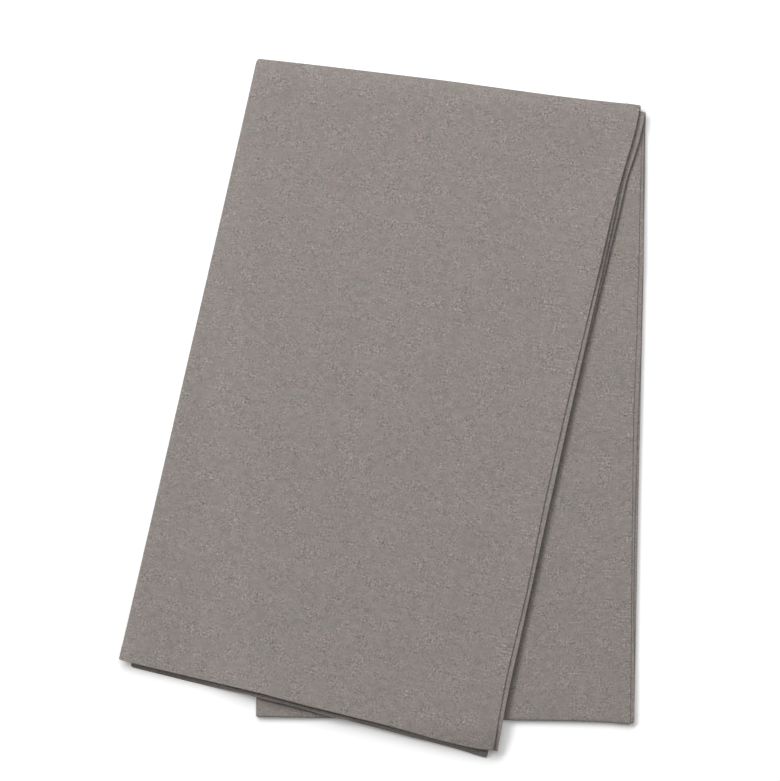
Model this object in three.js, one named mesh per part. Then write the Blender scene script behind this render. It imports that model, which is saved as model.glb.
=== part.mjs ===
// A rectangular tablecloth, 1500 by 2500 mm, folded into sixteen layers and laid flat.
// Units are millimetres and +Z is up. The cloth rests on the plane z = 0.
//
// The cloth is folded four times:
//   centre fold    lengthwise along its middle
//   quarter fold   lengthwise again, which makes a strip of four layers: this fold is its
//                  left edge, and the two long hems and the centre fold are its right edge
//   cross fold     across the strip at half its length, at the near end of the folded cloth
//   last fold      across again at the far end, a little askew, so that the upper half of
//                  the stack lies turned over the lower half
//
// The sheet is laid out on a grid. Its columns run across the strip, through the four
// layers in turn. Its rows run along the strip, from one free end to the other.

import * as THREE from "three";

// The sheet and its layers.
const sheet = 1.0;
const gap = 0.2;
const pitch = sheet + gap;
const stripLayers = 4;
const halfStack = 2 * stripLayers * pitch;
const outerRadius = 1.5 * pitch;
const innerRadius = 0.5 * pitch;

// Each fold's depth is its radius times stretch. All layers of the last fold are deeper than
// that by the length deeper.
const quarterFold = { stretch: 1.3, steps: 5, innerSteps: 4 };
const centreFold = { stretch: 1.3, steps: 4 };
const crossFold = { stretch: 1, steps: 6 };
const lastFold = { deeper: 7.5, stretch: 1.2, steps: 6, along: 626.2, turn: -5.86 }; // turn in degrees

// The free ends. slant is how far the end runs on for each millimetre across the strip, fan is
// how far each layer down the stack runs on past the one above it, and bow is how far the end's
// middle runs on past its corners. At its right corner an end runs on by flare.
const outerEnd = { along: 1256.6, slant: 0.0242, fan: -0.5, bow: -1.9, flare: 0 };
const innerEnd = { along: 1255.8, slant: 0.013, fan: 1.15, bow: 1.1, flare: 4.4 };
const halfStrip = 190;
const flareFrom = 120;
const flareTo = 175;

// Where the upper half hangs past the lower one, it runs on level for the length clear and
// then comes down to the surface over the length reach. The lower half's left edge lies at
// left at the cross fold, and moves by slope for each millimetre along the strip.
const droop = { clear: 12, reach: 100, left: -187, slope: -0.0175 };

// The strip lies this far off the Y axis.
const stripTurn = THREE.MathUtils.degToRad(-0.94);

const clothColour = 0x8f8883;

// Where the strip's edges lie, across it from its middle line, at distances along it from
// the cross fold. left is the quarter fold, hemOne and hemTwo are the long hems of the two
// sheets nearest the stack's outside, and centre is the centre fold.
const outerEdges = [
  { along: 0, left: -188.6, hemOne: 180.2, hemTwo: 183.6, centre: 184 },
  { along: 310, left: -193.3, hemOne: 179.2, hemTwo: 181.2, centre: 183.5 },
  { along: 600, left: -197.8, hemOne: 179.8, hemTwo: 180.5, centre: 181.5 },
  { along: 660, left: -198, hemOne: 180.1, hemTwo: 178.3, centre: 178.4 },
  { along: 690, left: -198.1, hemOne: 178, hemTwo: 177.4, centre: 177.2 },
  { along: 730, left: -198.3, hemOne: 176.3, hemTwo: 178.9, centre: 177.6 },
  { along: 845, left: -199, hemOne: 175, hemTwo: 179.2, centre: 178.3 },
  { along: 940, left: -199.6, hemOne: 173.8, hemTwo: 179, centre: 177.6 },
  { along: 1030, left: -200.1, hemOne: 173.8, hemTwo: 179.1, centre: 177.6 },
  { along: 1110, left: -200.5, hemOne: 175.5, hemTwo: 179.5, centre: 177.8 },
  { along: 1200, left: -201, hemOne: 174.8, hemTwo: 179.7, centre: 178 },
  { along: 1260, left: -201.4, hemOne: 178.6, hemTwo: 182.6, centre: 180 },
];
const innerEdges = [
  { along: 0, left: -188.6, hemOne: 180.2, hemTwo: 184, centre: 184.2 },
  { along: 170, left: -190.5, hemOne: 178.9, hemTwo: 181.3, centre: 184.5 },
  { along: 320, left: -192.7, hemOne: 178.5, hemTwo: 183.1, centre: 185.2 },
  { along: 470, left: -195, hemOne: 181.1, hemTwo: 185.5, centre: 186.1 },
  { along: 610, left: -196.9, hemOne: 181.9, hemTwo: 184.3, centre: 185.7 },
  { along: 690, left: -196.3, hemOne: 181.2, hemTwo: 182.4, centre: 184.2 },
  { along: 845, left: -194.6, hemOne: 177.6, hemTwo: 178.8, centre: 181.4 },
  { along: 985, left: -192.8, hemOne: 174.8, hemTwo: 175.8, centre: 178.4 },
  { along: 1265, left: -188.6, hemOne: 171, hemTwo: 172, centre: 172 },
];

// Grid lines that every layer shares, so that facets of neighbouring layers stay parallel:
// across the strip from its middle line, along the lower half from the cross fold, and
// along the upper half from the last fold. They are closer where the upper half comes down.
const linesAcross = [-180, -155, -125, -95, -60, -10, 60, 130];
const linesOnLowerHalf = [80, 170, 320, 470];
const linesOnUpperHalf = [60, 150, 240, 330, 420, 500, 545, 575, 593];

const edgeAt = (table, along) => {
  const last = table.findIndex((row, k) => k > 0 && (along <= row.along || k === table.length - 1));
  const [from, to] = [table[last - 1], table[last]];
  const share = THREE.MathUtils.clamp((along - from.along) / (to.along - from.along), 0, 1);
  const blend = (column) => THREE.MathUtils.lerp(from[column], to[column], share);
  return { left: blend("left"), hemOne: blend("hemOne"), hemTwo: blend("hemTwo"), centre: blend("centre") };
};

// One half turn about a point of the section, as [across, up] points at a given radius.
const halfTurn = (across, up, radius, stretch, steps, side, startsLow) => {
  const points = [];
  for (let k = 0; k <= steps; k += 1) {
    const angle = (Math.PI * k) / steps;
    const rise = (startsLow ? -1 : 1) * radius * Math.cos(angle);
    points.push([across + side * stretch * radius * Math.sin(angle), up + rise]);
  }
  return points;
};

// The strip's section through its four layers, from the first long hem to the second, as
// [across, up] points. offset moves it off the middle of the sheet, towards its outer face.
const section = (edges, offset) => {
  const turnAt = edges.left + quarterFold.stretch * (outerRadius + sheet / 2);
  const centreAt = edges.centre - centreFold.stretch * (innerRadius + sheet / 2);
  const leftward = (up) => [...linesAcross].reverse().map((across) => [across, up]);
  const rightward = (up) => linesAcross.map((across) => [across, up]);
  const { stretch, steps, innerSteps } = quarterFold;
  return [
    [edges.hemOne, outerRadius + offset],
    ...leftward(outerRadius + offset),
    ...halfTurn(turnAt, 0, outerRadius + offset, stretch, steps, -1, false),
    ...rightward(-outerRadius - offset),
    ...halfTurn(centreAt, -pitch, innerRadius + offset, centreFold.stretch, centreFold.steps, 1, true),
    ...leftward(offset - innerRadius),
    ...halfTurn(turnAt, 0, innerRadius - offset, stretch, innerSteps, -1, true),
    ...rightward(innerRadius - offset),
    [edges.hemTwo, innerRadius - offset],
  ];
};

// The last fold bends the flat stack of eight layers over on itself, about an axis on top of it.
const axisHeight = halfStack - gap / 2;
const depthAt = (radius) => lastFold.deeper + lastFold.stretch * radius;
const lastDepth = depthAt(axisHeight);
const lastTurn = THREE.MathUtils.degToRad(lastFold.turn);
const foldAcross = new THREE.Vector2(Math.cos(lastTurn), Math.sin(lastTurn));
const foldNormal = new THREE.Vector2(-foldAcross.y, foldAcross.x);
const foldStart = foldNormal.y * lastFold.along - lastDepth;

const bendLast = (x, y, z) => {
  const flat = new THREE.Vector2(x, y);
  const past = flat.dot(foldNormal) - foldStart;
  if (past <= 0) {
    return [x, y, z, 0];
  }
  const angle = Math.PI * Math.min(past / (2 * lastDepth), 1);
  const radius = axisHeight - z;
  const beyond = Math.max(past - 2 * lastDepth, 0);
  const reach = depthAt(radius) * Math.sin(angle) - beyond + foldStart;
  const sideways = flat.dot(foldAcross);
  return [
    foldAcross.x * sideways + foldNormal.x * reach,
    foldAcross.y * sideways + foldNormal.y * reach,
    axisHeight - radius * Math.cos(angle),
    (1 - Math.cos(angle)) / 2,
  ];
};

// How far the upper half comes down at a place outside the lower half.
const droopAt = (x, y) => {
  const left = droop.left + droop.slope * y - droop.clear;
  const outside = Math.hypot(Math.max(left - x, 0), Math.max(-droop.clear - y, 0));
  return halfStack * THREE.MathUtils.smoothstep(outside, 0, droop.reach);
};

// A row places the section's points. Outer rows are in the half of the strip that is
// outermost at both crosswise folds and lies upside down at the bottom of the flat stack.
// Inner rows are in the other half, on top of it, and the cross fold joins the two.
const outerMiddle = sheet / 2 + outerRadius;
const innerMiddle = outerMiddle + stripLayers * pitch;
const crossMiddle = (outerMiddle + innerMiddle) / 2;
const crossRadius = (innerMiddle - outerMiddle) / 2;
const crossReach = crossFold.stretch * (crossRadius + outerRadius + sheet / 2);
const runOnAt = (end, across, layersDown) => {
  const corner = THREE.MathUtils.smoothstep(across, flareFrom, flareTo);
  return end.fan * layersDown + end.bow * (1 - (across / halfStrip) ** 2) + end.flare * corner;
};
const place = (row, [across, up]) => {
  const outer = row.half === "outer";
  const layersDown = (outer ? outerRadius - up : outerRadius + up) / pitch;
  let y = row.along + row.slant * across + (row.end ? runOnAt(row.end, across, layersDown) : 0);
  let z = outer ? outerMiddle - up : innerMiddle + up;
  if (row.half === "cross") {
    const radius = crossRadius + up;
    y = crossReach - crossFold.stretch * radius * Math.sin(row.angle);
    z = crossMiddle - radius * Math.cos(row.angle);
  }
  const [bentX, bentY, bentZ, share] = bendLast(across, y, z);
  return new THREE.Vector3(bentX, bentY, bentZ - share * droopAt(bentX, bentY));
};

// The rows of one half, from its free end to the cross fold.
const foldSlant = Math.tan(lastTurn);
const rowsOfHalf = (half, end, table) => {
  const rows = [{ half, along: end.along, slant: end.slant, end }];
  const nearSide = lastFold.along - lastDepth / foldNormal.y;
  const farSide = lastFold.along + lastDepth / foldNormal.y;
  const upperLength = outerEnd.along - farSide;
  for (const line of [...linesOnUpperHalf].reverse()) {
    const slant = THREE.MathUtils.lerp(foldSlant, outerEnd.slant, line / upperLength);
    rows.push({ half, along: farSide + line, slant });
  }
  for (let k = 0; k <= lastFold.steps; k += 1) {
    const along = THREE.MathUtils.lerp(farSide, nearSide, k / lastFold.steps);
    rows.push({ half, along, slant: foldSlant });
  }
  for (const line of [...linesOnLowerHalf].reverse()) {
    rows.push({ half, along: line, slant: (foldSlant * line) / nearSide });
  }
  rows.push({ half, along: crossReach, slant: 0 });
  return rows.map((row) => ({ ...row, edges: edgeAt(table, row.along) }));
};

const outerRows = rowsOfHalf("outer", outerEnd, outerEdges);
const innerRows = rowsOfHalf("inner", innerEnd, innerEdges).reverse();
const crossRows = [];
for (let k = 1; k < crossFold.steps; k += 1) {
  crossRows.push({ half: "cross", angle: (Math.PI * k) / crossFold.steps, edges: outerEdges[0] });
}
const rows = [...outerRows, ...crossRows, ...innerRows];

// The two faces of the sheet, then the triangles of both faces and of the rim along its hems.
const faces = [sheet / 2, -sheet / 2].map((offset) =>
  rows.map((row) => section(row.edges, offset).map((point) => place(row, point))),
);
const columnCount = faces[0][0].length;
const positions = faces.flat(2).flatMap((point) => point.toArray());
const vertex = (face, row, column) => (face * rows.length + row) * columnCount + column;

const triangles = [];
const addQuad = (a, b, c, d, otherWay) => {
  triangles.push(...(otherWay ? [a, b, d, b, c, d] : [a, b, c, a, c, d]));
};

// Cells are split along the same diagonal as seen from above, whichever way a layer runs.
const runLength = linesAcross.length + 1;
const turnsAfter = [quarterFold.steps, centreFold.steps, quarterFold.innerSteps, 0];
const runsLeftward = [];
turnsAfter.forEach((turn, run) => {
  runsLeftward.push(...Array(runLength + turn).fill(run % 2 === 0));
});
for (let row = 0; row < rows.length - 1; row += 1) {
  const towardsCrossFold = row < outerRows.length;
  for (let column = 0; column < columnCount - 1; column += 1) {
    const otherWay = runsLeftward[column] !== towardsCrossFold;
    const corners = (face) => [
      vertex(face, row, column),
      vertex(face, row + 1, column),
      vertex(face, row + 1, column + 1),
      vertex(face, row, column + 1),
    ];
    const [a, b, c, d] = corners(0);
    addQuad(a, b, c, d, otherWay);
    const [e, f, g, h] = corners(1);
    addQuad(h, g, f, e, !otherWay);
  }
}
const addRim = (path) => {
  for (let k = 0; k < path.length - 1; k += 1) {
    const [[row, column], [nextRow, nextColumn]] = [path[k], path[k + 1]];
    addQuad(
      vertex(0, row, column),
      vertex(0, nextRow, nextColumn),
      vertex(1, nextRow, nextColumn),
      vertex(1, row, column),
      false,
    );
  }
};
const lastRow = rows.length - 1;
const lastColumn = columnCount - 1;
const alongRows = rows.map((_, row) => row);
const alongColumns = faces[0][0].map((_, column) => column);
addRim(alongRows.map((row) => [row, lastColumn]));
addRim(alongRows.map((row) => [lastRow - row, 0]));
addRim(alongColumns.map((column) => [0, column]));
addRim(alongColumns.map((column) => [lastRow, lastColumn - column]));

const geometry = new THREE.BufferGeometry();
geometry.setAttribute("position", new THREE.Float32BufferAttribute(positions, 3));
geometry.setIndex(triangles);
geometry.rotateZ(stripTurn);
geometry.computeBoundingBox();
const middle = geometry.boundingBox.getCenter(new THREE.Vector3());
geometry.translate(-middle.x, -middle.y, -geometry.boundingBox.min.z);
geometry.computeVertexNormals();

const clothMaterial = new THREE.MeshStandardMaterial({
  color: clothColour,
  roughness: 0.95,
  metalness: 0,
});
const cloth = new THREE.Mesh(geometry, clothMaterial);
cloth.name = "tablecloth";

const tablecloth = new THREE.Group();
tablecloth.add(cloth);

export default tablecloth;
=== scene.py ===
import math

import bmesh
import bpy
import numpy as np
from mathutils.bvhtree import BVHTree
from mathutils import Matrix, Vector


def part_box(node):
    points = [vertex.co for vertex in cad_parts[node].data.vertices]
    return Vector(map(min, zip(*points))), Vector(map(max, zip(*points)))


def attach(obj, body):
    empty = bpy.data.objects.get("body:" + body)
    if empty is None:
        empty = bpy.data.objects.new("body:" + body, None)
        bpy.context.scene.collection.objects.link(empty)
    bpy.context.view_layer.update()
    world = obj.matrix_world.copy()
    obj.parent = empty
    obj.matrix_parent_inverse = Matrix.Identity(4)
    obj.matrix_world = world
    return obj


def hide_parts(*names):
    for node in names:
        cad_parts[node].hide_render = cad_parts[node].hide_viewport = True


# A tablecloth of 1500 by 2500 mm, folded into sixteen layers and laid flat.
# The cloth's own sizes are millimetres until its mesh is written, and the scene is in metres.
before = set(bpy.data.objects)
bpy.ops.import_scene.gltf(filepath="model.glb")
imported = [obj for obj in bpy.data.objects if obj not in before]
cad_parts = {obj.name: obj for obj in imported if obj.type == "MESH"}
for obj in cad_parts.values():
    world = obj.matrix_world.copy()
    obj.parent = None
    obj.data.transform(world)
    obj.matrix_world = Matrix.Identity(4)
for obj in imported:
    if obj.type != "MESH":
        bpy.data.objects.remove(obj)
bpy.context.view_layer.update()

metresPerMm = 0.001
layersAcross = 4  # in a strip

# The cloth lies in a strip of four layers, which is folded across twice. across is measured
# from the strip's middle line, along from its cross fold, and up through its four layers.
cloth = {
    "flatSize": (1.5, 2.5),  # metres, before folding
    "pitch": 1.2,  # from one layer to the next
    "pressed": 0.1,  # how much lower the last fold's axis is than the layers it turns about
    "body": 0.56,  # thickness of the plain cloth
    "hem": 0.92,  # thickness of a hem, where it is turned in twice
    "hemWidth": 15.4,
    "hemSlope": 1.3,  # the length over which a hem's step fades into the plain cloth
    "edgeRound": 0.7,  # how far in from its edge a hem is rounded
    "rounding": 0.94,  # and by how much, where 1 would be to a point
    "stripTurn": -0.94,  # degrees
    "fromLeft": 323.1,  # where the strip starts, from the corner of the CAD cloth's box
    "fromFront": 36.1,
}
foldShape = {
    "quarterStretch": 1.3,  # how much further each fold reaches out than it is high
    "centreStretch": 1.3,
    "crossStretch": 0.8,
    "crossFullness": 0.7,  # 1 is round, and less is squarer
    "lastStretch": 1.2,
    "lastDeeper": 7.5,  # and how much deeper the last fold is than that, all through
    "lastAlong": 626.2,
    "lastTurn": -5.86,  # degrees
}
# Where each half of the strip ends. fan is how much further each layer down runs on.
freeEnd = {
    "outer": {"along": 1256.6, "slant": 0.0242, "fan": -0.5},
    "inner": {"along": 1255.8, "slant": 0.013, "fan": 1.15},
}
# How much further each half's top layer runs on there, at places across it.
runsOn = [
    {"across": -200, "outer": 0.1, "inner": 0},
    {"across": -155, "outer": -0.3, "inner": 0.3},
    {"across": -129, "outer": -0.75, "inner": 0.5},
    {"across": -105, "outer": -1.3, "inner": 0.3},
    {"across": -80, "outer": -2.1, "inner": -0.6},
    {"across": -56, "outer": -2.4, "inner": -1.3},
    {"across": -32, "outer": -1.95, "inner": -1.2},
    {"across": -7, "outer": -1.65, "inner": -0.5},
    {"across": 17, "outer": -1.8, "inner": 0.5},
    {"across": 42, "outer": -1.8, "inner": 1.1},
    {"across": 66, "outer": -2, "inner": 1.6},
    {"across": 90, "outer": -1.6, "inner": 2.4},
    {"across": 115, "outer": -0.4, "inner": 2.7},
    {"across": 140, "outer": -0.4, "inner": 3.4},
    {"across": 155, "outer": -0.4, "inner": 4.6},
    {"across": 165, "outer": -0.4, "inner": 6.1},
    {"across": 175, "outer": -0.3, "inner": 7.4},
]
runsOnSharpness = 4  # higher keeps all of that closer to the free ends
# Where the inner half's layers are more even, as its lowest one stays in place.
innerFans = [
    {"across": -95, "fan": 1.15},
    {"across": -62, "fan": -0.3},
    {"across": 22, "fan": -0.3},
    {"across": 55, "fan": 1.15},
]

# The upper half comes down past the lower half's left edge, and past its near one.
droop = {"left": -191, "slope": -0.0175, "near": -2, "leftReach": 58, "nearReach": 50}

# The edges of each half's layers, at places along it.
outerEdges = [
    {"along": 0, "left": -188.6, "hemOne": 180.2, "hemTwo": 183.6, "centre": 184},
    {"along": 310, "left": -193.3, "hemOne": 179.2, "hemTwo": 181.2, "centre": 183.5},
    {"along": 600, "left": -197.8, "hemOne": 179.8, "hemTwo": 180.5, "centre": 181.5},
    {"along": 660, "left": -198, "hemOne": 180.1, "hemTwo": 178.3, "centre": 178.4},
    {"along": 690, "left": -198.1, "hemOne": 178, "hemTwo": 177.4, "centre": 177.2},
    {"along": 730, "left": -198.3, "hemOne": 176.3, "hemTwo": 178.9, "centre": 177.6},
    {"along": 785, "left": -198.6, "hemOne": 175.7, "hemTwo": 179.2, "centre": 178.2},
    {"along": 845, "left": -199, "hemOne": 175, "hemTwo": 179.2, "centre": 178.3},
    {"along": 940, "left": -199.6, "hemOne": 173.8, "hemTwo": 179, "centre": 177.6},
    {"along": 1030, "left": -200.1, "hemOne": 173.8, "hemTwo": 179.1, "centre": 177.6},
    {"along": 1070, "left": -200.3, "hemOne": 174.8, "hemTwo": 179.3, "centre": 177.7},
    {"along": 1110, "left": -200.5, "hemOne": 175.5, "hemTwo": 179.5, "centre": 177.8},
    {"along": 1140, "left": -200.7, "hemOne": 174.9, "hemTwo": 179.6, "centre": 177.9},
    {"along": 1200, "left": -201, "hemOne": 174.8, "hemTwo": 179.7, "centre": 178},
    {"along": 1230, "left": -201.2, "hemOne": 176.4, "hemTwo": 180.8, "centre": 178.6},
    {"along": 1260, "left": -201.4, "hemOne": 178.6, "hemTwo": 182.6, "centre": 180},
]
innerEdges = [
    {"along": 0, "left": -188.6, "hemOne": 180.2, "hemTwo": 184, "centre": 184.2},
    {"along": 50, "left": -189.1, "hemOne": 179.8, "hemTwo": 183.5, "centre": 184.3},
    {"along": 110, "left": -189.7, "hemOne": 179.3, "hemTwo": 181.7, "centre": 184.4},
    {"along": 170, "left": -190.5, "hemOne": 178.9, "hemTwo": 181.3, "centre": 184.5},
    {"along": 250, "left": -191.6, "hemOne": 178.5, "hemTwo": 181.9, "centre": 184.8},
    {"along": 320, "left": -192.7, "hemOne": 178.5, "hemTwo": 183.1, "centre": 185.2},
    {"along": 385, "left": -193.7, "hemOne": 179.9, "hemTwo": 184.6, "centre": 185.6},
    {"along": 435, "left": -194.5, "hemOne": 180.6, "hemTwo": 184.8, "centre": 186},
    {"along": 470, "left": -195, "hemOne": 181.1, "hemTwo": 185.5, "centre": 186.1},
    {"along": 510, "left": -195.5, "hemOne": 181.1, "hemTwo": 185.1, "centre": 185.9},
    {"along": 555, "left": -196.1, "hemOne": 181.5, "hemTwo": 184.2, "centre": 186},
    {"along": 610, "left": -196.9, "hemOne": 181.9, "hemTwo": 184.3, "centre": 185.7},
    {"along": 660, "left": -196.6, "hemOne": 182, "hemTwo": 183.4, "centre": 187.1},
    {"along": 674, "left": -196.4, "hemOne": 181.7, "hemTwo": 183, "centre": 186.4},
    {"along": 690, "left": -196.3, "hemOne": 181.2, "hemTwo": 182.4, "centre": 184},
    {"along": 730, "left": -195.9, "hemOne": 180.2, "hemTwo": 181.4, "centre": 183.4},
    {"along": 785, "left": -195.3, "hemOne": 178.6, "hemTwo": 180, "centre": 182.5},
    {"along": 845, "left": -194.6, "hemOne": 177.6, "hemTwo": 178.8, "centre": 181.4},
    {"along": 886, "left": -194.1, "hemOne": 176.6, "hemTwo": 177.7, "centre": 180.5},
    {"along": 940, "left": -193.4, "hemOne": 175.4, "hemTwo": 176.4, "centre": 179.3},
    {"along": 985, "left": -192.8, "hemOne": 174.8, "hemTwo": 175.8, "centre": 178.4},
    {"along": 1265, "left": -188.6, "hemOne": 172.5, "hemTwo": 173.5, "centre": 173.5},
]
edgeTables = {"outer": outerEdges, "inner": innerEdges, "cross": outerEdges}

# How finely the sheet is cut into faces: millimetres, or steps for each half turn.
spacing = {
    "fromHem": [0, 0.12, 0.35, 0.8, 2, 5, 9, 12.5, 14.4, 15.1, 15.8, 16.6, 18.5, 23],
    "shownAcross": 10.6,
    "hiddenAcross": 11.4,
    "shownAlong": 10,
    "hiddenAlong": 18,
    "quarterTurn": 8,
    "innerTurn": 6,
    "centreTurn": 6,
    "crossTurn": 12,
    "lastTurn": 14,
}

# Soft ridges and troughs, in millimetres across and along the strip as it lies.
# lift is at the top of the stack, and layers below rise less.
creases = [
    {"x": 160, "y": 560, "turn": 20, "length": 60, "width": 26, "lift": -0.9},
    {"x": -225, "y": 170, "turn": 75, "length": 40, "width": 16, "lift": -0.8},
]
ripples = {"seed": 11, "count": 14, "shortest": 70, "longest": 190, "lift": 0.09}

# The upper half's top sheets lift a little off the others along their hems, in millimetres.
liftFrom = {"start": 2, "stop": 50}  # past the last fold, where anything starts to lift
hemLift = {"side": 1.2, "end": 1.4, "reach": 20, "under": 0.35}
gapReach = 90  # how far the gap between the halves goes on from their free ends
endGaps = [  # how high it is there, at places across
    {"across": -190, "gap": 4.6},
    {"across": -100, "gap": 3.8},
    {"across": -45, "gap": 3.2},
    {"across": 15, "gap": 2.7},
    {"across": 70, "gap": 2.2},
    {"across": 190, "gap": 1.6},
]
endRise = {"across": -30, "width": 50, "reach": 45, "lift": 1.6}  # of both halves, off the rest
bulge = {"along": 768, "length": 42, "reach": 34, "first": 3.2, "second": 0.5}  # beside the last fold

# Places where the whole stack is drawn a little way across or along, in millimetres.
pulls = [
    {"x": 0, "y": -20, "reachX": 900, "reachY": 170, "byX": 0, "byY": -1.5},
    {"x": 196, "y": -10, "reachX": 30, "reachY": 40, "byX": 0, "byY": -2.2},
    {"x": 105, "y": -5, "reachX": 60, "reachY": 40, "byX": 0, "byY": 0.9},
    {"x": -110, "y": 650, "reachX": 110, "reachY": 60, "byX": 0, "byY": 1.2},
    {"x": -12, "y": 640, "reachX": 50, "reachY": 60, "byX": 0, "byY": 0.5},
    {"x": 115, "y": 640, "reachX": 60, "reachY": 60, "byX": 0, "byY": -1.2},
    {"x": 186, "y": 615, "reachX": 8, "reachY": 16, "byX": 0, "byY": -1.2},
    {"x": 47, "y": -31, "reachX": 15, "reachY": 30, "byX": 0, "byY": 2.3},
    {"x": 188, "y": -2, "reachX": 5, "reachY": 7, "byX": 0, "byY": 3.2},
]

farFromHems = 1000  # as good as no hem
pitch = cloth["pitch"]
halfStack = 2 * layersAcross * pitch
outerRadius = (layersAcross - 1) / 2 * pitch  # from a strip's middle to its outer layers
innerRadius = pitch / 2  # and to its inner ones
halfSheet = 0.5  # what the folds leave for half of the sheet's thickness
outerMiddle = outerRadius + halfSheet
innerMiddle = outerMiddle + layersAcross * pitch
crossMiddle = (outerMiddle + innerMiddle) / 2
crossRadius = (innerMiddle - outerMiddle) / 2
crossReach = foldShape["crossStretch"] * (crossRadius + outerRadius + halfSheet)

axisHeight = halfStack - cloth["pressed"]
lastDepth = foldShape["lastDeeper"] + foldShape["lastStretch"] * axisHeight
lastTurn = math.radians(foldShape["lastTurn"])
foldAcross = np.array([math.cos(lastTurn), math.sin(lastTurn)])
foldNormal = np.array([-foldAcross[1], foldAcross[0]])
foldStart = foldNormal[1] * foldShape["lastAlong"] - lastDepth
nearSide = foldShape["lastAlong"] - lastDepth / foldNormal[1]
farSide = foldShape["lastAlong"] + lastDepth / foldNormal[1]


def smoothStep(value, start, stop):
    share = np.clip((value - start) / (stop - start), 0, 1)
    return share * share * (3 - 2 * share)


def fading(distance, reach):
    # 1 at no distance, and softly to nothing past the reach
    return np.exp(-((distance / reach) ** 2))


def inTable(table, value, across):
    # a value at places across the strip, straight from row to row of a table
    return np.interp(across, [row["across"] for row in table], [row[value] for row in table])


def edgeAt(half, edge, along):
    # a smooth curve through the rows of an edge table
    table = edgeTables[half]
    places = np.array([row["along"] for row in table], float)
    values = np.array([row[edge] for row in table], float)
    slopes = np.gradient(values, places)
    k = np.clip(np.searchsorted(places, along) - 1, 0, len(places) - 2)
    step = places[k + 1] - places[k]
    t = np.clip((along - places[k]) / step, 0, 1)
    first = (2 * t**3 - 3 * t**2 + 1) * values[k] + (t**3 - 2 * t**2 + t) * step * slopes[k]
    second = (3 * t**2 - 2 * t**3) * values[k + 1] + (t**3 - t**2) * step * slopes[k + 1]
    return first + second


def evenly(start, stop, spacingWanted):
    count = max(2, round(abs(stop - start) / spacingWanted) + 1)
    return np.linspace(start, stop, count)


def turnSteps(name):
    return np.linspace(0, math.pi, spacing[name] + 1)[1:-1]


def slantAt(half, along):
    # how far a row runs on along the strip for each millimetre across it
    foldSlant = math.tan(lastTurn)
    towardsEnd = np.clip((along - farSide) / (freeEnd[half]["along"] - farSide), 0, 1)
    towardsFold = np.clip(along / nearSide, 0, 1)
    return towardsFold * (foldSlant + (freeEnd[half]["slant"] - foldSlant) * towardsEnd)


def droopAt(x, y):
    pastLeft = np.maximum(droop["left"] + droop["slope"] * y - x, 0) / droop["leftReach"]
    pastNear = np.maximum(droop["near"] - y, 0) / droop["nearReach"]
    return halfStack * smoothStep(np.hypot(pastLeft, pastNear), 0, 1)


def bendLast(x, y, z):
    # turns what lies past the last fold over on top, about an axis along the stack's top
    past = x * foldNormal[0] + y * foldNormal[1] - foldStart
    angle = math.pi * np.clip(past / (2 * lastDepth), 0, 1)
    radius = axisHeight - z
    beyond = np.maximum(past - 2 * lastDepth, 0)
    depth = foldShape["lastDeeper"] + foldShape["lastStretch"] * radius
    reach = depth * np.sin(angle) - beyond + foldStart
    sideways = x * foldAcross[0] + y * foldAcross[1]
    bent = past > 0
    share = np.where(bent, (1 - np.cos(angle)) / 2, 0)
    newX = np.where(bent, foldAcross[0] * sideways + foldNormal[0] * reach, x)
    newY = np.where(bent, foldAcross[1] * sideways + foldNormal[1] * reach, y)
    newZ = np.where(bent, axisHeight - radius * np.cos(angle), z)
    return newX, newY, newZ - share * droopAt(newX, newY)


def settle(x, y, z):
    # the soft ridges and troughs of the stack as it lies, and where it is drawn aside
    for pull in pulls:
        shape = ((x - pull["x"]) / pull["reachX"]) ** 2 + ((y - pull["y"]) / pull["reachY"]) ** 2
        x, y = x + pull["byX"] * np.exp(-shape), y + pull["byY"] * np.exp(-shape)
    lift = np.zeros_like(x)
    for crease in creases:
        turn = math.radians(crease["turn"])
        longways = (x - crease["x"]) * math.cos(turn) + (y - crease["y"]) * math.sin(turn)
        sideways = (y - crease["y"]) * math.cos(turn) - (x - crease["x"]) * math.sin(turn)
        shape = (longways / crease["length"]) ** 2 + (sideways / crease["width"]) ** 2
        lift += crease["lift"] * np.exp(-shape)
    random = np.random.default_rng(ripples["seed"])
    for _ in range(ripples["count"]):
        length = random.uniform(ripples["shortest"], ripples["longest"])
        heading, phase = random.uniform(0, 2 * math.pi, 2)
        distance = x * math.cos(heading) + y * math.sin(heading)
        lift += ripples["lift"] * np.sin(2 * math.pi * distance / length + phase)
    return x, y, z * (1 + lift / (2 * halfStack))


def stackPoint(half, along, angle, across, up, lift):
    # where a place of the strip lies in the finished stack
    isCross = half == "cross"
    isOuter = half == "outer"
    layersDown = np.where(isOuter, outerRadius - up, outerRadius + up) / pitch
    slant = np.where(isOuter, slantAt("outer", along), slantAt("inner", along))
    towardsEnd = np.clip((along - farSide) / (freeEnd["outer"]["along"] - farSide), 0, 1)
    outer = inTable(runsOn, "outer", across) + freeEnd["outer"]["fan"] * layersDown
    lowestLayer = layersAcross - 1
    inner = inTable(runsOn, "inner", across) + lowestLayer * freeEnd["inner"]["fan"]
    inner = inner - inTable(innerFans, "fan", across) * (lowestLayer - layersDown)
    y = along + slant * across + np.where(isOuter, outer, inner) * towardsEnd**runsOnSharpness
    z = np.where(isOuter, outerMiddle - up, innerMiddle + up)
    radius = crossRadius + up
    fullness = foldShape["crossFullness"]
    reach = foldShape["crossStretch"] * radius * np.abs(np.sin(angle)) ** fullness
    height = radius * np.sign(np.cos(angle)) * np.abs(np.cos(angle)) ** fullness
    y = np.where(isCross, crossReach - reach, y)
    z = np.where(isCross, crossMiddle - height, z)
    x, y, z = settle(*bendLast(across, y, z))
    return x, y, z + lift


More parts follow.
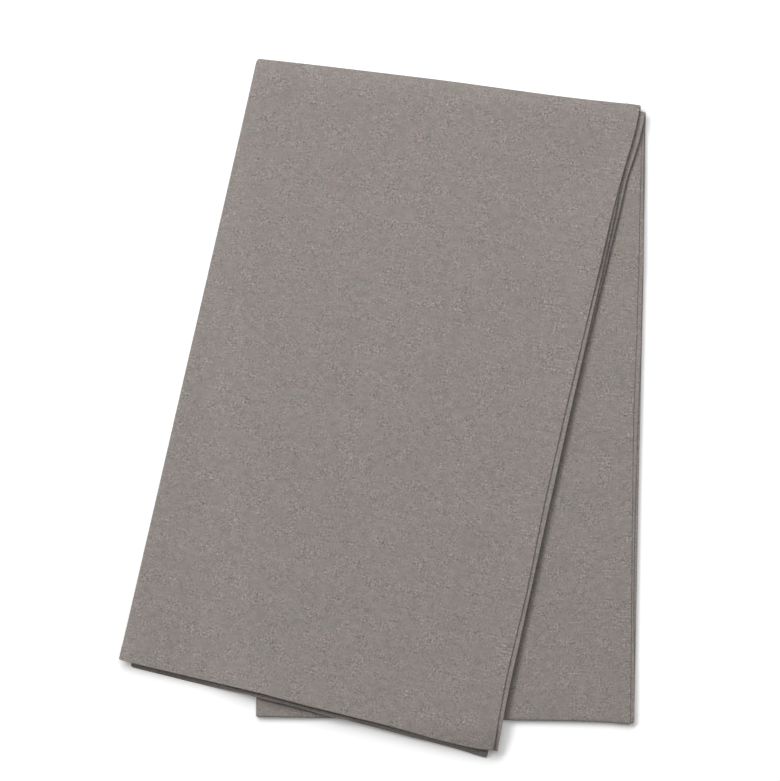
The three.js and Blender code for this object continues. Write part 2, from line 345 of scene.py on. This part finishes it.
def halfRows(half):
    # rows from the half's free end to the cross fold
    end = freeEnd[half]["along"]
    shown = {"outer": ("shownAlong", "hiddenAlong"), "inner": ("hiddenAlong", "shownAlong")}
    upper, lower = (spacing[name] for name in shown[half])
    hem = end - np.array(spacing["fromHem"])
    rows = [hem, evenly(hem[-1], farSide, upper)[1:]]
    rows.append(np.linspace(farSide, nearSide, spacing["lastTurn"] + 1)[1:])
    rows.append(evenly(nearSide, crossReach, lower)[1:])
    return np.concatenate(rows)


def rowsAt(half, along, angle=0):
    # rows of one half, or of the cross fold, with how far each is from its free end
    along = np.asarray(along, float)
    fromEnd = freeEnd[half]["along"] - along if half in freeEnd else np.full(len(along), farFromHems)
    halves, angles = np.full(len(along), half), angle + np.zeros(len(along))
    return {"half": halves, "along": along, "angle": angles, "fromEnd": fromEnd}


def together(*lots):
    return {key: np.concatenate([rows[key] for rows in lots]) for key in lots[0]}


def allRows():
    turn = turnSteps("crossTurn")
    cross = rowsAt("cross", np.full(len(turn), crossReach), turn)
    return together(rowsAt("outer", halfRows("outer")), cross, rowsAt("inner", halfRows("inner")[::-1]))


def allColumns():
    # (stretch of the section, place in it), from the first long hem to the second
    hem = spacing["fromHem"]
    width = cloth["flatSize"][0] / metresPerMm / layersAcross
    runs = {}
    for name in ("shownAcross", "hiddenAcross"):
        count = round(width / spacing[name])
        runs[name] = [k / count for k in range(count + 1)]
    columns = [("hemOne", d) for d in hem]
    columns += [("one", t) for t in runs["shownAcross"][::-1][1:]]
    columns += [("outerTurn", angle) for angle in turnSteps("quarterTurn")]
    columns += [("two", t) for t in runs["hiddenAcross"]]
    columns += [("centreTurn", angle) for angle in turnSteps("centreTurn")]
    columns += [("three", t) for t in runs["hiddenAcross"][::-1]]
    columns += [("innerTurn", angle) for angle in turnSteps("innerTurn")]
    columns += [("four", t) for t in runs["hiddenAcross"][:-1]]
    columns += [("hemTwo", d) for d in hem[::-1]]
    return columns


def halfThickness(fromEdge):
    # half the sheet's thickness at a distance from its nearest cut edge
    hem, body, width = cloth["hem"] / 2, cloth["body"] / 2, cloth["hemWidth"]
    step = smoothStep(fromEdge, width - cloth["hemSlope"] / 2, width + cloth["hemSlope"] / 2)
    rounded = np.clip(1 - fromEdge / cloth["edgeRound"], 0, 1)
    return (hem + (body - hem) * step) * np.sqrt(1 - cloth["rounding"] * rounded**2)


def sectionPoint(stretch, place, edges, offset):
    # across and up of one column's points, with offset towards the strip's outer face
    turnAt = edges["left"] + foldShape["quarterStretch"] * (outerRadius + halfSheet)
    centreAt = edges["centre"] - foldShape["centreStretch"] * (innerRadius + halfSheet)
    outer, inner = outerRadius + offset, innerRadius - offset
    hemStart = spacing["fromHem"][-1]
    if stretch == "hemOne":
        return edges["hemOne"] - place, outer
    if stretch == "one":
        return turnAt + (edges["hemOne"] - hemStart - turnAt) * place, outer
    if stretch == "outerTurn":
        return turnAt - foldShape["quarterStretch"] * outer * math.sin(place), outer * math.cos(place)
    if stretch == "two":
        return turnAt + (centreAt - turnAt) * place, -outer
    if stretch == "centreTurn":
        radius = innerRadius + offset
        across = centreAt + foldShape["centreStretch"] * radius * math.sin(place)
        return across, -pitch - radius * math.cos(place)
    if stretch == "three":
        return turnAt + (centreAt - turnAt) * place, -inner
    if stretch == "innerTurn":
        return turnAt - foldShape["quarterStretch"] * inner * math.sin(place), -inner * math.cos(place)
    if stretch == "four":
        return turnAt + (edges["hemTwo"] - hemStart - turnAt) * place, inner
    return edges["hemTwo"] - place, inner


def liftAt(rows, columns, across, edges):
    # how far the upper half's top sheets lift off along their hems, and all of it at its end
    names = np.array([name for name, _ in columns])
    along, fromEnd = rows["along"], rows["fromEnd"][:, None]
    past = smoothStep(along, farSide + liftFrom["start"], farSide + liftFrom["stop"])
    upper = past * (rows["half"] == "outer")
    fromFirst = np.maximum(edges["hemOne"][:, None] - across, 0)
    fromSecond = np.maximum(edges["hemTwo"][:, None] - across, 0)
    nearFold = fading(along - bulge["along"], bulge["length"])[:, None]
    first = hemLift["side"] * fading(fromFirst, hemLift["reach"])
    first = first + hemLift["end"] * fading(fromEnd, hemLift["reach"])
    first = first + bulge["first"] * nearFold * fading(fromFirst, bulge["reach"])
    second = hemLift["under"] * fading(fromSecond, hemLift["reach"])
    second = second + bulge["second"] * nearFold * fading(fromSecond, bulge["reach"])
    lift = first * np.isin(names, ["hemOne", "one"]) + second * np.isin(names, ["hemTwo", "four"])
    lift = lift + inTable(endGaps, "gap", across) * fading(fromEnd, gapReach)
    besideRise = fading(across - endRise["across"], endRise["width"])
    rise = endRise["lift"] * besideRise * fading(fromEnd, endRise["reach"])
    return lift * upper[:, None] + rise * past[:, None]


def sheetPoints(rows, columns, side):
    # points on the sheet's middle, side 0, or on one of its faces, side 1 or -1
    half, along = rows["half"], rows["along"]
    edges = {}
    for edge in ("left", "hemOne", "hemTwo", "centre"):
        outer, inner = (edgeAt(name, edge, along) for name in ("outer", "inner"))
        edges[edge] = np.where(half == "inner", inner, outer)
    fromHem = np.array([d if name.startswith("hem") else farFromHems for name, d in columns], float)
    offset = side * halfThickness(np.minimum(rows["fromEnd"][:, None], fromHem[None, :]))
    across = np.empty(offset.shape)
    up = np.empty(offset.shape)
    for k, (stretch, place) in enumerate(columns):
        across[:, k], up[:, k] = sectionPoint(stretch, place, edges, offset[:, k])
    lift = liftAt(rows, columns, across, edges)
    points = stackPoint(half[:, None], along[:, None], rows["angle"][:, None], across, up, lift)
    return np.stack(points, axis=2)


def flatPlaces(middle):
    # distances over the sheet's middle, across it and along it
    acrossSteps = np.linalg.norm(np.diff(middle, axis=1), axis=2).mean(axis=0)
    alongSteps = np.linalg.norm(np.diff(middle, axis=0), axis=2).mean(axis=1)
    u = np.concatenate([[0], np.cumsum(acrossSteps)])
    v = np.concatenate([[0], np.cumsum(alongSteps)])
    print(f"tablecloth: the sheet is {u[-1]:.0f} by {v[-1]:.0f} mm over its middle")
    return u, v


def gridFaces(rowCount, columnCount):
    # quads of both faces and of the rim that joins them along the hems
    index = np.arange(2 * rowCount * columnCount).reshape(2, rowCount, columnCount)
    corners = index[:, :-1, :-1], index[:, 1:, :-1], index[:, 1:, 1:], index[:, :-1, 1:]
    front = np.stack([c[0].ravel() for c in corners], axis=1)
    back = np.stack([c[1].ravel() for c in corners[::-1]], axis=1)
    faces = [front, back]
    rims = [index[:, :, -1], index[:, ::-1, 0], index[:, 0, :], index[:, -1, ::-1]]
    for rim in rims:
        faces.append(np.stack([rim[0, :-1], rim[0, 1:], rim[1, 1:], rim[1, :-1]], axis=1))
    return np.concatenate(faces)


def onTheFrame(points, lowest):
    # turns the strip's millimetres into the scene's metres, in the CAD cloth's place
    low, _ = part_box("tablecloth")
    turn = math.radians(cloth["stripTurn"])
    x = points[:, 0] * math.cos(turn) - points[:, 1] * math.sin(turn) + cloth["fromLeft"]
    y = points[:, 0] * math.sin(turn) + points[:, 1] * math.cos(turn) + cloth["fromFront"]
    z = points[:, 2] - lowest
    return np.stack([x, y, z], axis=1) * metresPerMm + np.array(low)


def makeMesh(name, vertices, faces):
    mesh = bpy.data.meshes.new(name)
    mesh.from_pydata(vertices.tolist(), [], faces.tolist())
    mesh.validate()
    mesh.shade_smooth()
    piece = bpy.data.objects.new(name, mesh)
    bpy.context.collection.objects.link(piece)
    return piece


def makeCloth():
    rows, columns = allRows(), allColumns()
    middle, outer, inner = (sheetPoints(rows, columns, side) for side in (0, 1, -1))
    points = np.concatenate([outer.reshape(-1, 3), inner.reshape(-1, 3)])
    lowest = points[:, 2].min()
    faces = gridFaces(len(rows["along"]), len(columns))
    piece = makeMesh("tablecloth_folded", onTheFrame(points, lowest), faces)
    u, v = flatPlaces(middle)
    flat = np.stack(np.meshgrid(u, v), axis=2).reshape(-1, 2) * metresPerMm
    flat = np.concatenate([flat, flat])
    layer = piece.data.uv_layers.new(name="weave")
    corner = np.empty(len(piece.data.loops), np.int32)
    piece.data.loops.foreach_get("vertex_index", corner)
    layer.uv.foreach_set("vector", flat[corner].astype(np.float32).ravel())
    return piece, lowest


# The stitches that hold the hems down, where they can be seen, in millimetres.
stitch = {
    "fromEdge": 13.9,
    "pitch": 3.0,
    "length": 2.3,
    "width": 0.5,
    "proud": 0.26,  # how far the middle of each is above the cloth
    "sunk": 0.08,
    "fromCorner": 4,
    "fromFloor": 8,  # how far round the last fold from the floor the line stops
    "acrossTop": 374,  # where the line along the free end stops, at the quarter fold
}


def topColumn(distance):
    # the column at a distance in from the first long hem, on the sheet that it edges
    hemStart, end = spacing["fromHem"][-1], freeEnd["outer"]["along"]
    if distance < hemStart:
        return "hemOne", distance
    turnAt = edgeAt("outer", "left", end) + foldShape["quarterStretch"] * (outerRadius + halfSheet)
    return "one", 1 - (distance - hemStart) / (edgeAt("outer", "hemOne", end) - hemStart - turnAt)


def stitchPlaces(start, stop):
    # start, middle and end of each stitch along its line
    starts = evenly(start, stop, stitch["pitch"])[:-1]
    step = math.copysign(stitch["length"] / 2, stop - start)
    return (starts[:, None] + step * np.arange(3)).ravel()


def stitchBodies(points):
    # a closed little body for each stitch: nine points over its top and one under its middle
    count = len(points) // 3
    grid = points.reshape(count, 3, 4, 3)
    shell, under = grid[:, :, :3].reshape(count, 9, 3), grid[:, 1:2, 3]
    bodies = np.concatenate([shell, under], axis=1)
    top = [[0, 3, 4, 1], [1, 4, 5, 2], [3, 6, 7, 4], [4, 7, 8, 5]]
    rim = [0, 1, 2, 5, 8, 7, 6, 3]
    bottom = [[9, rim[k], rim[k - 1], rim[k - 2]] for k in (0, 2, 4, 6)]
    faces = np.array(top + bottom) + bodies.shape[1] * np.arange(count)[:, None, None]
    return bodies.reshape(-1, 3), faces.reshape(-1, 4)


def onCloth(points, heights, tablecloth):
    # moves points to the cloth's mesh, and then off it by their heights
    mesh = tablecloth.data
    corners = [vertex.co for vertex in mesh.vertices]
    surface = BVHTree.FromPolygons(corners, [face.vertices for face in mesh.polygons])
    found = [surface.find_nearest(point)[:2] for point in points.tolist()]
    places, normals = (np.array([pair[k] for pair in found]) for k in (0, 1))
    return places + normals * heights.reshape(-1, 1) * metresPerMm


def makeStitches(tablecloth, lowest):
    # four points side by side, three times along each stitch: left, middle, right and under
    aside = stitch["fromEdge"] + stitch["width"] * np.array([-0.5, 0, 0.5, 0])
    end = freeEnd["outer"]["along"]
    sideHem = [("hemOne", distance) for distance in aside]
    overFloor = nearSide + stitch["fromFloor"]
    runs = {"outer": (end - stitch["fromCorner"], overFloor), "inner": (nearSide, crossReach)}
    lines = []
    for half, (start, stop) in runs.items():
        lines.append(sheetPoints(rowsAt(half, stitchPlaces(start, stop)), sideHem, 1))
    distances = stitchPlaces(stitch["fromCorner"], stitch["acrossTop"])
    endHem = [topColumn(distance) for distance in distances]
    lines.append(sheetPoints(rowsAt("outer", end - aside), endHem, 1).transpose(1, 0, 2))
    points = np.concatenate(lines)
    count = len(points) // 3
    low, top = -stitch["sunk"], stitch["proud"]
    tip, middle = [low, low, low, low], [low, top, low, 2 * low]
    heights = np.tile([tip, middle, tip], (count, 1))
    points = onCloth(onTheFrame(points.reshape(-1, 3), lowest), heights, tablecloth)
    piece = makeMesh("hem_stitches", *stitchBodies(points.reshape(-1, 4, 3)))
    body = bmesh.new()
    body.from_mesh(piece.data)
    bmesh.ops.recalc_face_normals(body, faces=body.faces)
    body.to_mesh(piece.data)
    body.free()
    print(f"stitches: {count} along the hems")
    return piece


weave = {
    "pinkish": (0.2815, 0.2455, 0.2325),  # two greys that cloud into each other
    "greenish": (0.2705, 0.2495, 0.2285),
    "yarn": 0.0005,  # metres from one yarn to the next
    "roughness": 0.9,
    "specular": 0.15,
    "sheen": 0.08,
    "bump": 0.00012,
    "bumpStrength": 0.5,
    "speckAbove": 0.28,  # only the peaks of the specks show, as light fibres
}

# Each layer of the melange: how long and wide its marks are, in metres across the cloth and
# along it, and how strongly it lightens and darkens the colour. The fine marks are stronger in
# some places than in others, by busy.
fineMarks = [
    {"name": "flecks", "across": 0.0019, "along": 0.0019, "strength": 0.38, "detail": 1.5},
    {"name": "weft dashes", "across": 0.006, "along": 0.0014, "strength": 0.15, "detail": 1},
    {"name": "warp dashes", "across": 0.0012, "along": 0.007, "strength": 0.1, "detail": 1},
]
broadMarks = [
    {"name": "patches", "across": 0.009, "along": 0.006, "strength": 0.13, "detail": 1},
    {"name": "clouds", "across": 0.035, "along": 0.03, "strength": 0.045, "detail": 1},
]
specks = {"name": "specks", "across": 0.0022, "along": 0.0019, "strength": 1.0, "detail": 1}
busy = {"name": "busy", "across": 0.019, "along": 0.014, "strength": 1.5, "detail": 2}
hues = {"name": "hues", "across": 0.028, "along": 0.025, "strength": 1, "detail": 2}


def newNode(tree, kind, inputs=None, **settings):
    node = tree.nodes.new(kind)
    for name, value in settings.items():
        setattr(node, name, value)
    for name, value in (inputs or {}).items():
        node.inputs[name].default_value = value
    return node


def joined(tree, operation, first, second):
    # a Math node on two values, each a socket or a number
    node = newNode(tree, "ShaderNodeMath", operation=operation)
    for socket, value in zip(node.inputs, (first, second)):
        if isinstance(value, (int, float)):
            socket.default_value = value
        else:
            tree.links.new(value, socket)
    return node.outputs[0]


def noiseMarks(tree, flat, mark):
    # a noise stretched to the mark's size, about zero and as strong as the mark
    scale = (1 / mark["across"], 1 / mark["along"], 1)
    stretch = newNode(tree, "ShaderNodeMapping", {"Scale": scale})
    noise = newNode(tree, "ShaderNodeTexNoise", {"Scale": 1, "Detail": mark["detail"]})
    noise.noise_dimensions = "2D"
    noise.label = mark["name"]
    tree.links.new(flat, stretch.inputs["Vector"])
    tree.links.new(stretch.outputs["Vector"], noise.inputs["Vector"])
    centred = joined(tree, "SUBTRACT", noise.outputs["Fac"], 0.5)
    return joined(tree, "MULTIPLY", centred, 2 * mark["strength"])


def addedUp(tree, flat, marks):
    total = noiseMarks(tree, flat, marks[0])
    for mark in marks[1:]:
        total = joined(tree, "ADD", total, noiseMarks(tree, flat, mark))
    return total


def yarnHeight(tree, flat):
    # the rounded tops of yarns that cross over and under
    apart = newNode(tree, "ShaderNodeSeparateXYZ")
    tree.links.new(flat, apart.inputs[0])
    waves = []
    for axis in ("X", "Y"):
        turns = joined(tree, "MULTIPLY", apart.outputs[axis], math.pi / weave["yarn"])
        waves.append(joined(tree, "COSINE", turns, 0))
    return joined(tree, "ABSOLUTE", joined(tree, "MULTIPLY", waves[0], waves[1]), 0)


def makeWeave():
    material = bpy.data.materials.new("melange weave")
    material.use_nodes = True
    tree = material.node_tree
    shader = tree.nodes["Principled BSDF"]
    shader.inputs["Roughness"].default_value = weave["roughness"]
    shader.inputs["Specular IOR Level"].default_value = weave["specular"]
    shader.inputs["Sheen Weight"].default_value = weave["sheen"]

    place = newNode(tree, "ShaderNodeUVMap", uv_map="weave")
    flat = place.outputs["UV"]
    fine, broad = (addedUp(tree, flat, marks) for marks in (fineMarks, broadMarks))
    busyness = joined(tree, "ADD", noiseMarks(tree, flat, busy), 1)
    peaks = joined(tree, "SUBTRACT", noiseMarks(tree, flat, specks), weave["speckAbove"])
    tone = joined(tree, "ADD", fine, joined(tree, "MAXIMUM", peaks, 0))
    tone = joined(tree, "MULTIPLY", tone, busyness)
    tone = joined(tree, "ADD", joined(tree, "ADD", tone, broad), 1)

    hue = newNode(tree, "ShaderNodeMix", data_type="RGBA")
    tree.links.new(joined(tree, "ADD", noiseMarks(tree, flat, hues), 0.5), hue.inputs["Factor"])
    hue.inputs["A"].default_value = (*weave["pinkish"], 1)
    hue.inputs["B"].default_value = (*weave["greenish"], 1)
    colour = newNode(tree, "ShaderNodeVectorMath", operation="SCALE")
    tree.links.new(hue.outputs["Result"], colour.inputs[0])
    tree.links.new(tone, colour.inputs["Scale"])
    tree.links.new(colour.outputs[0], shader.inputs["Base Color"])

    depth = {"Distance": weave["bump"], "Strength": weave["bumpStrength"]}
    bump = newNode(tree, "ShaderNodeBump", depth)
    tree.links.new(yarnHeight(tree, flat), bump.inputs["Height"])
    tree.links.new(bump.outputs["Normal"], shader.inputs["Normal"])
    return material


thread = {
    "light": (0.37, 0.34, 0.32),
    "dark": (0.25, 0.225, 0.21),
    "twist": 900,  # how fine the two alternate
    "detail": 2,
    "roughness": 0.75,
}


def makeThread():
    material = bpy.data.materials.new("hem thread")
    material.use_nodes = True
    tree = material.node_tree
    shader = tree.nodes["Principled BSDF"]
    shader.inputs["Roughness"].default_value = thread["roughness"]
    place = newNode(tree, "ShaderNodeTexCoord")
    noise = newNode(tree, "ShaderNodeTexNoise", {"Scale": thread["twist"], "Detail": thread["detail"]})
    colour = newNode(tree, "ShaderNodeMix", data_type="RGBA")
    colour.inputs["A"].default_value = (*thread["light"], 1)
    colour.inputs["B"].default_value = (*thread["dark"], 1)
    tree.links.new(place.outputs["Object"], noise.inputs["Vector"])
    tree.links.new(noise.outputs["Fac"], colour.inputs["Factor"])
    tree.links.new(colour.outputs["Result"], shader.inputs["Base Color"])
    return material


studio = {
    "cameraHeight": 6.0,  # metres above the cloth's mid height
    "midHeight": 0.01,
    "viewWidth": 0.7683,  # metres across the view, at the mid height
    "aim": (0.0074, 0.0167),
    "sensor": 36,
    "farthest": 100,
    "sky": 0.14,
    "floorSize": 14,
    "floorColour": 0.97,
    "floorGlow": 0.18,
}
lamps = [
    {"name": "window", "place": (-3.17, 2.47, 5.73), "size": (3.6, 2.0), "power": 247},
    {"name": "north", "place": (-0.33, 1.57, 2.29), "size": (1.2, 1.0), "power": 26.2},
    {"name": "overhead", "place": (0.36, 0.52, 2.73), "size": (1.0, 1.0), "power": 15.5},
]


def makeLight():
    world = bpy.data.worlds.new("soft room")
    bpy.context.scene.world = world
    world.use_nodes = True
    background = world.node_tree.nodes["Background"]
    background.inputs["Color"].default_value = (1, 1, 1, 1)
    background.inputs["Strength"].default_value = studio["sky"]

    for lamp in lamps:
        light = bpy.data.lights.new(lamp["name"], "AREA")
        light.shape = "RECTANGLE"
        light.size, light.size_y = lamp["size"]
        light.energy = lamp["power"]
        lampObject = bpy.data.objects.new(lamp["name"], light)
        lampObject.location = lamp["place"]
        lampObject.rotation_euler = (-lampObject.location).to_track_quat("-Z", "Y").to_euler()
        lampObject.visible_camera = False
        bpy.context.collection.objects.link(lampObject)


def makeFloor():
    # plain paper, which the camera sees a little lighter than it is lit
    half = studio["floorSize"] / 2
    corners = np.array([[-half, -half, 0], [half, -half, 0], [half, half, 0], [-half, half, 0]])
    floor = makeMesh("studio_floor", corners, np.array([[0, 1, 2, 3]]))
    material = bpy.data.materials.new("white floor")
    material.use_nodes = True
    tree = material.node_tree
    tree.nodes.clear()
    paper = newNode(tree, "ShaderNodeBsdfDiffuse")
    paper.inputs["Color"].default_value = (*[studio["floorColour"]] * 3, 1)
    glow = newNode(tree, "ShaderNodeEmission")
    ray = newNode(tree, "ShaderNodeLightPath")
    both = newNode(tree, "ShaderNodeAddShader")
    output = newNode(tree, "ShaderNodeOutputMaterial")
    strength = joined(tree, "MULTIPLY", ray.outputs["Is Camera Ray"], studio["floorGlow"])
    tree.links.new(strength, glow.inputs["Strength"])
    tree.links.new(paper.outputs[0], both.inputs[0])
    tree.links.new(glow.outputs[0], both.inputs[1])
    tree.links.new(both.outputs[0], output.inputs["Surface"])
    floor.data.materials.append(material)
    return floor


def makeCamera():
    # straight down, with the cloth's mid height as wide as the view
    lens = bpy.data.cameras.new("camera")
    lens.sensor_width = studio["sensor"]
    lens.lens = studio["sensor"] * studio["cameraHeight"] / studio["viewWidth"]
    lens.clip_end = studio["farthest"]
    camera = bpy.data.objects.new("camera", lens)
    camera.location = (*studio["aim"], studio["cameraHeight"] + studio["midHeight"])
    bpy.context.collection.objects.link(camera)
    bpy.context.scene.camera = camera


tablecloth, lowest = makeCloth()
tablecloth.data.materials.append(makeWeave())
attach(tablecloth, "root")
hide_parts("tablecloth")

stitches = makeStitches(tablecloth, lowest)
stitches.data.materials.append(makeThread())
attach(stitches, "root")
print("tablecloth: folded, in place")

bpy.context.scene.view_settings.view_transform = "Standard"
makeLight()
floor = makeFloor()
makeCamera()
print("studio: floor, light and camera")
